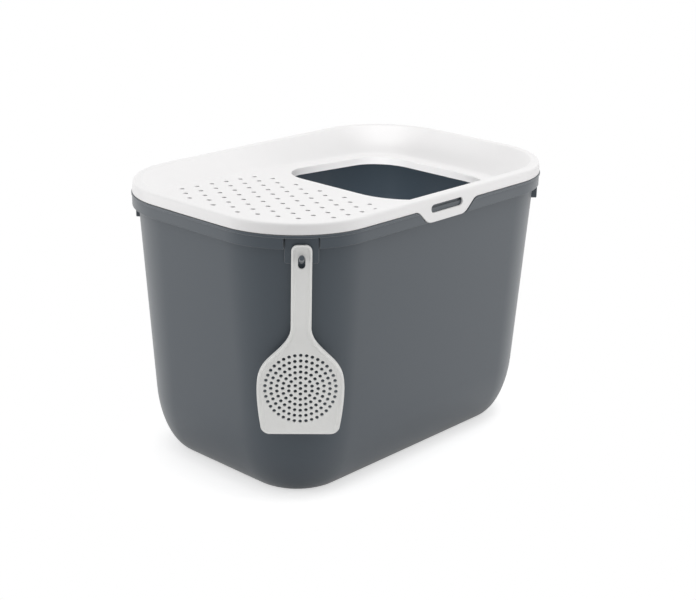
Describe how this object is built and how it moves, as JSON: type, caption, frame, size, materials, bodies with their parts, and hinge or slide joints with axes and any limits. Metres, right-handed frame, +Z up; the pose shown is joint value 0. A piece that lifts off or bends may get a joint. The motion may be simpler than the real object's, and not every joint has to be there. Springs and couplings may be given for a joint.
{
  "type": "top entry litter box",
  "caption": "Deep litter tub with rounded corners, a drop-on lid with an entry opening and a perforated sloping tray, and a sieve scoop that hangs on a corner peg.",
  "frame": {"origin": "middle of the tub's underside, on the floor", "axes": "+X along the length, from the perforated end to the end with the entry opening; +Y across the width, away from the side that the scoop hangs on; +Z up"},
  "size_m": [0.5848, 0.3985, 0.395],
  "materials": {
    "tub_plastic": "fine satin texture",
    "lid_plastic": "satin",
    "scoop_plastic": "satin"
  },
  "bodies": {
    "tub": {"tub": "tub_plastic"},
    "lid": {"lid": "lid_plastic"},
    "scoop": {"scoop": "scoop_plastic"}
  },
  "joints": [
    {"name": "lid_lift", "type": "slide", "parent": "tub", "child": "lid", "axis": [0, 0, 1], "range_m": [0, 0.15]},
    {"name": "scoop_take_off", "type": "slide", "parent": "tub", "child": "scoop", "axis": [-0.6124, -0.6124, 0.5], "range_m": [0, 0.1]}
  ]
}
